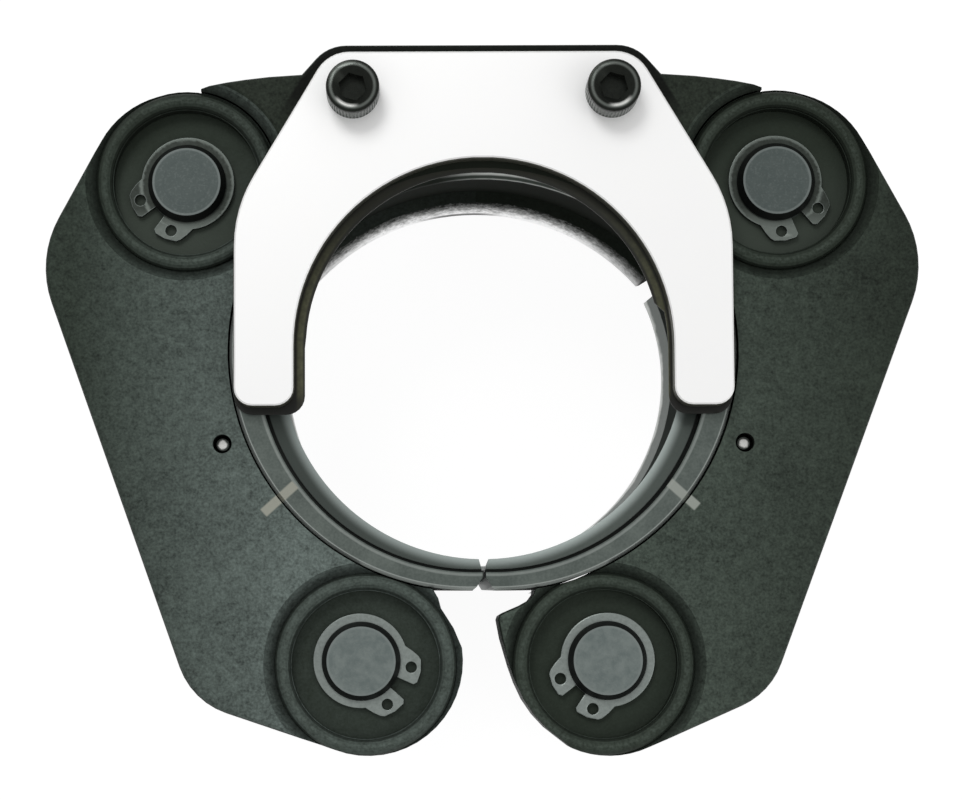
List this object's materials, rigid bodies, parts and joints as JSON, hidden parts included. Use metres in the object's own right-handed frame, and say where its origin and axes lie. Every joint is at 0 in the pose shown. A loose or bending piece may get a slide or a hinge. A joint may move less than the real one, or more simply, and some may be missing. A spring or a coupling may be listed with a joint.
{
  "type": "press ring",
  "caption": "Hinged press ring for pipe fittings: two boomerang-shaped arms with sliding press segments, hinged on pins to a middle link that carries a front plate.",
  "frame": {"origin": "centre of the press opening, on the rear face of the arms, which the ring lies on", "axes": "+Z along the ring axis towards the front plate, +X to the right seen from the front, +Y from the adapter pins towards the middle link"},
  "size_m": [0.1403, 0.1142, 0.0484],
  "materials": {
    "forged_steel": "forged steel, finely pebbled, dark phosphate finish",
    "segment_steel": "hardened steel, grey phosphate finish, worn bright on the lips",
    "plate_steel": "bright zinc-plated steel sheet, smooth",
    "pin_steel": "hardened pin steel, satin",
    "spring_steel": "spring steel, grey phosphate finish",
    "screw_steel": "black oxide on alloy steel",
    "guide_pin_steel": "bright ground steel"
  },
  "bodies": {
    "link": {"middle_link": "forged_steel", "front_plate": "plate_steel", "plate_screw_left": "screw_steel", "plate_screw_right": "screw_steel"},
    "left_arm": {"left_arm": "forged_steel", "upper_pin_left": "pin_steel", "lower_pin_left": "pin_steel", "guide_pin_left": "guide_pin_steel", "upper_circlip_left_front": "spring_steel", "upper_circlip_left_rear": "spring_steel", "lower_circlip_left_front": "spring_steel", "lower_circlip_left_rear": "spring_steel"},
    "right_arm": {"right_arm": "forged_steel", "upper_pin_right": "pin_steel", "lower_pin_right": "pin_steel", "guide_pin_right": "guide_pin_steel", "upper_circlip_right_front": "spring_steel", "upper_circlip_right_rear": "spring_steel", "lower_circlip_right_front": "spring_steel", "lower_circlip_right_rear": "spring_steel"},
    "left_segment": {"left_segment": "segment_steel"},
    "right_segment": {"right_segment": "segment_steel"}
  },
  "joints": [
    {"name": "left_arm_hinge", "type": "hinge", "parent": "link", "child": "left_arm", "pos_m": [-0.04765, 0.0285, 0.02], "axis": [0, 0, -1], "range_deg": [0, 30]},
    {"name": "right_arm_hinge", "type": "hinge", "parent": "link", "child": "right_arm", "pos_m": [0.04765, 0.0285, 0.02], "axis": [0, 0, 1], "range_deg": [0, 30]},
    {"name": "left_segment_slide", "type": "hinge", "parent": "left_arm", "child": "left_segment", "pos_m": [-0.0023, 0.0009, 0.02], "axis": [0, 0, -1], "range_deg": [0, 3]},
    {"name": "right_segment_slide", "type": "hinge", "parent": "right_arm", "child": "right_segment", "pos_m": [0.0023, 0.0009, 0.02], "axis": [0, 0, 1], "range_deg": [0, 3]}
  ]
}
